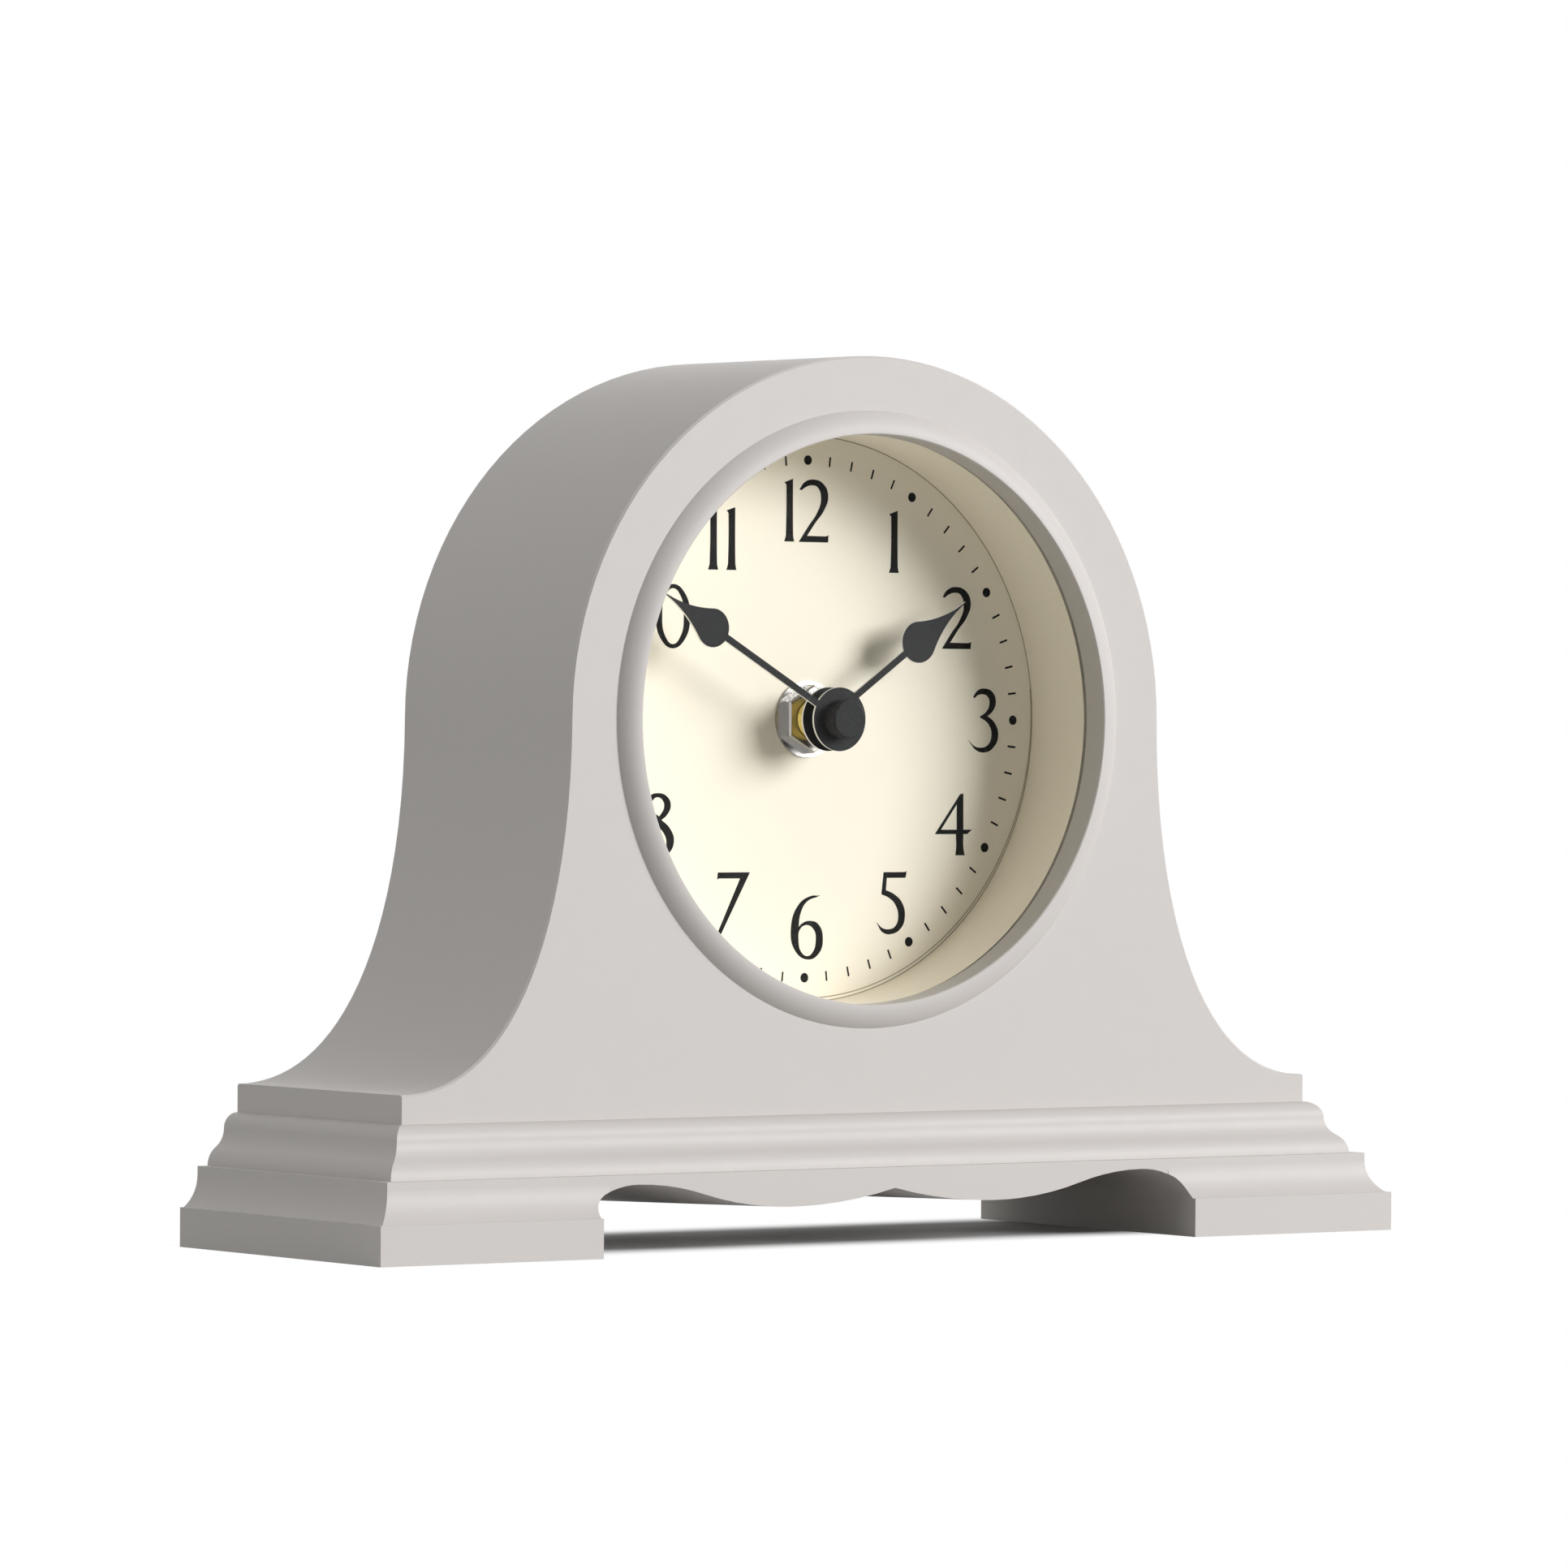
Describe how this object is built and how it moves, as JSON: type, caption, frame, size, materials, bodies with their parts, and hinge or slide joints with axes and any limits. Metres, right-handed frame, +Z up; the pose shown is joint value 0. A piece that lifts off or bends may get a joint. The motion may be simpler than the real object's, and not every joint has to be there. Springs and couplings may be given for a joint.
{
  "type": "mantel clock",
  "caption": "Painted wooden mantel clock with a round-headed flared body, moulded footed base, glazed cream dial, teardrop hands and a battery quartz movement.",
  "frame": {"origin": "centre of the footprint, on the surface that the feet stand on", "axes": "+Z up, -Y out of the dial towards the viewer, +X to the viewer's right"},
  "size_m": [0.2382, 0.0696, 0.1699],
  "materials": {
    "case_paint": "satin warm white paint on wood",
    "dial_cream": "matt cream, printed numbers",
    "ring_cream": "matt cream",
    "clear_lens": "clear, polished",
    "hand_black": "satin black",
    "cap_black": "satin black",
    "bright_chrome": "polished",
    "turned_brass": "turned",
    "movement_black": "fine moulded texture",
    "knob_grey": "moulded, ribbed",
    "wheel_nylon": "natural moulded nylon",
    "magnet_rotor": "sintered magnet",
    "motor_steel": "punched",
    "bobbin_white": "moulded",
    "copper_wire": "enamelled copper wire, wound",
    "board_brown": "phenolic board",
    "chip_resin": "resin drop",
    "crystal_can": "drawn can",
    "contact_nickel": "nickel plated spring strip",
    "cell_sleeve": "plain printed sleeve with bright ends",
    "washer_rubber": "matt",
    "screw_zinc": "zinc plated"
  },
  "bodies": {
    "clock_case": {"case_body": "case_paint", "base_moulding": "case_paint", "plinth": "case_paint", "base_screws": "screw_zinc", "bezel": "case_paint", "lens": "clear_lens", "dial_ring": "ring_cream", "dial": "dial_cream", "bushing": "turned_brass", "cushion_washer": "washer_rubber", "dial_washer": "bright_chrome", "hex_nut": "bright_chrome", "movement_case": "movement_black", "movement_cover": "movement_black", "train_plate": "movement_black", "stator": "motor_steel", "coil_core": "motor_steel", "coil_bobbin": "bobbin_white", "coil_winding": "copper_wire", "circuit_board": "board_brown", "timing_chip": "chip_resin", "quartz_crystal": "crystal_can", "positive_contact": "contact_nickel", "negative_contact": "contact_nickel"},
    "minute_works": {"minute_arbor": "turned_brass", "minute_hand": "hand_black", "hand_cap": "cap_black"},
    "hour_works": {"hour_wheel": "wheel_nylon", "hour_hand": "hand_black"},
    "setting_works": {"minute_wheel": "wheel_nylon", "set_knob": "knob_grey"},
    "seconds_works": {"seconds_wheel": "wheel_nylon"},
    "third_works": {"third_wheel": "wheel_nylon"},
    "centre_works": {"centre_wheel": "wheel_nylon"},
    "intermediate_works": {"intermediate_wheel": "wheel_nylon"},
    "rotor_works": {"rotor": "magnet_rotor"},
    "battery_cell": {"battery": "cell_sleeve"}
  },
  "joints": [
    {"name": "minute_hand_turn", "type": "hinge", "parent": "clock_case", "child": "minute_works", "pos_m": [0, 0.0075, 0.1004], "axis": [0, 1, 0], "continuous": true},
    {"name": "hour_hand_turn", "type": "hinge", "parent": "clock_case", "child": "hour_works", "pos_m": [0, 0.0075, 0.1004], "axis": [0, 1, 0], "continuous": true},
    {"name": "setting_knob_turn", "type": "hinge", "parent": "clock_case", "child": "setting_works", "pos_m": [-0.0108, 0.0075, 0.1004], "axis": [0, 1, 0], "continuous": true},
    {"name": "seconds_wheel_turn", "type": "hinge", "parent": "clock_case", "child": "seconds_works", "pos_m": [0, 0.0075, 0.1004], "axis": [0, 1, 0], "continuous": true},
    {"name": "third_wheel_turn", "type": "hinge", "parent": "clock_case", "child": "third_works", "pos_m": [0.01053, 0.0075, 0.1004], "axis": [0, 1, 0], "continuous": true},
    {"name": "centre_wheel_turn", "type": "hinge", "parent": "clock_case", "child": "centre_works", "pos_m": [0, 0.0075, 0.1004], "axis": [0, 1, 0], "continuous": true},
    {"name": "intermediate_wheel_turn", "type": "hinge", "parent": "clock_case", "child": "intermediate_works", "pos_m": [-0.00217, 0.0075, 0.10851], "axis": [0, 1, 0], "continuous": true},
    {"name": "rotor_turn", "type": "hinge", "parent": "clock_case", "child": "rotor_works", "pos_m": [-0.00321, 0.0075, 0.11436], "axis": [0, 1, 0], "continuous": true},
    {"name": "battery_slide", "type": "slide", "parent": "clock_case", "child": "battery_cell", "axis": [0, 1, 0], "range_m": [0, 0.032]}
  ],
  "couplings": [
    {"joint": "hour_hand_turn", "follows": "minute_hand_turn", "ratio": 0.083333},
    {"joint": "setting_knob_turn", "follows": "minute_hand_turn", "ratio": -0.33333},
    {"joint": "third_wheel_turn", "follows": "seconds_wheel_turn", "ratio": -0.13333},
    {"joint": "centre_wheel_turn", "follows": "seconds_wheel_turn", "ratio": 0.016667},
    {"joint": "intermediate_wheel_turn", "follows": "seconds_wheel_turn", "ratio": -6},
    {"joint": "rotor_turn", "follows": "seconds_wheel_turn", "ratio": 30}
  ]
}
